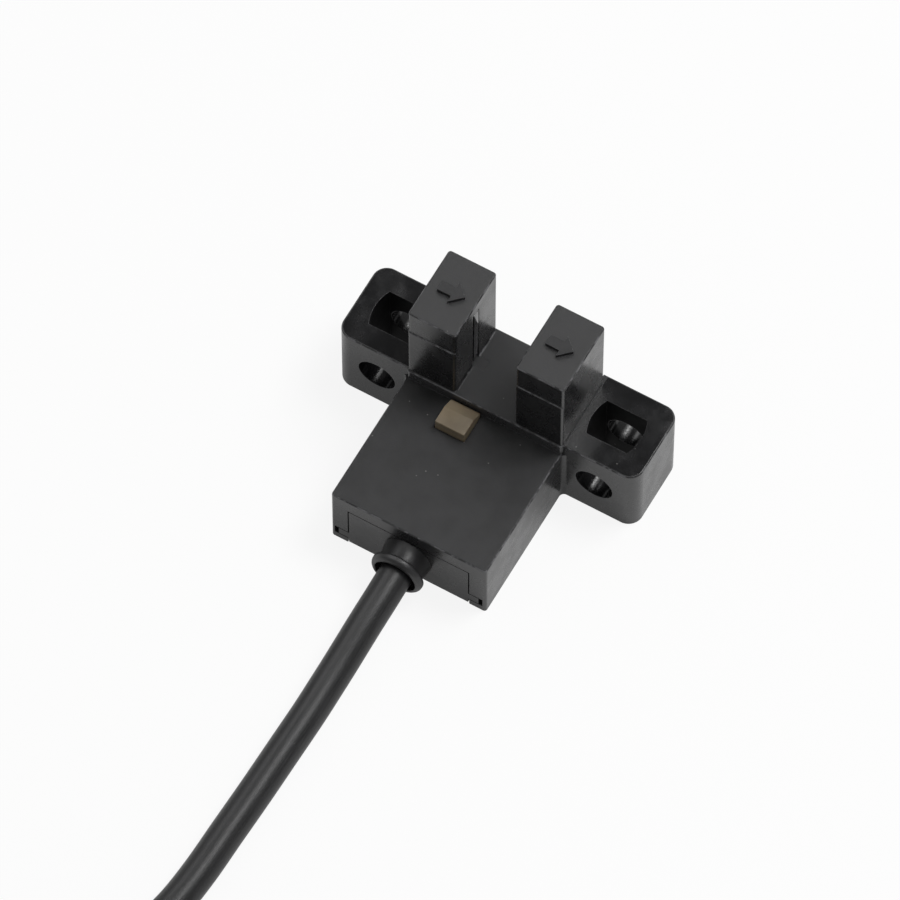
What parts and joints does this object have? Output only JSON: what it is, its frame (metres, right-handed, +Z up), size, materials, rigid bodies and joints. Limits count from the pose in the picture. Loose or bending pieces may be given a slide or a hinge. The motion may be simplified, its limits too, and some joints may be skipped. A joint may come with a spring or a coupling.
{
  "type": "slot optical sensor",
  "caption": "Small T shaped slot optical sensor with sensing arms, mounting ears with crossed fixing holes, an indicator window and a fixed cable with bare ends.",
  "frame": {"origin": "on the base plane, in the middle of the width, in the plane of the mounting ears' cable side", "axes": "+X across the ears in the direction of the light beam, +Y away from the cable, +Z up along the sensing arms"},
  "size_m": [0.0479, 0.0934, 0.0167],
  "materials": {
    "housing_plastic": "satin moulded black plastic with a fine grain",
    "cover_plastic": "satin moulded black plastic",
    "light_guide": "milky translucent plastic",
    "dark_pane": "dark infrared filter plastic",
    "board": "green solder resist",
    "clear_resin": "clear moulded resin",
    "chip_resin": "matt black moulding",
    "tinned_metal": "bright tin plating",
    "solder": "bright solder",
    "lamp": "pale ceramic with a yellow top",
    "resistor": "black glazed chip",
    "capacitor": "tan ceramic",
    "bushing_rubber": "smooth black rubber",
    "cable_jacket": "smooth black cable jacket with a soft sheen",
    "clamp_metal": "plain tinned band",
    "brown_insulation": "brown core insulation",
    "black_insulation": "black core insulation",
    "white_insulation": "white core insulation",
    "blue_insulation": "blue core insulation",
    "tie_plastic": "black nylon"
  },
  "bodies": {
    "root": {"housing": "housing_plastic", "base_cover": "cover_plastic", "indicator_window": "light_guide", "emitter_window": "dark_pane", "receiver_window": "dark_pane", "circuit_board": "board", "emitter_led": "clear_resin", "emitter_leads": "tinned_metal", "receiver_chip": "chip_resin", "receiver_leads": "tinned_metal", "solder_joints": "solder", "indicator_lamp": "lamp", "amplifier_chip": "chip_resin", "output_transistor": "chip_resin", "chip_legs": "tinned_metal", "chip_resistors": "resistor", "bypass_capacitor": "capacitor", "surge_diode": "chip_resin", "cable_bushing": "bushing_rubber", "cable_inner_end": "cable_jacket", "cable_clamp": "clamp_metal", "core_brown": "brown_insulation", "core_black": "black_insulation", "core_white": "white_insulation", "core_blue": "blue_insulation", "cable_run": "cable_jacket", "cable_coil": "cable_jacket", "cable_tail": "cable_jacket", "coil_tie": "tie_plastic", "lead_brown": "brown_insulation", "lead_black": "black_insulation", "lead_white": "white_insulation", "lead_blue": "blue_insulation"}
  },
  "joints": []
}
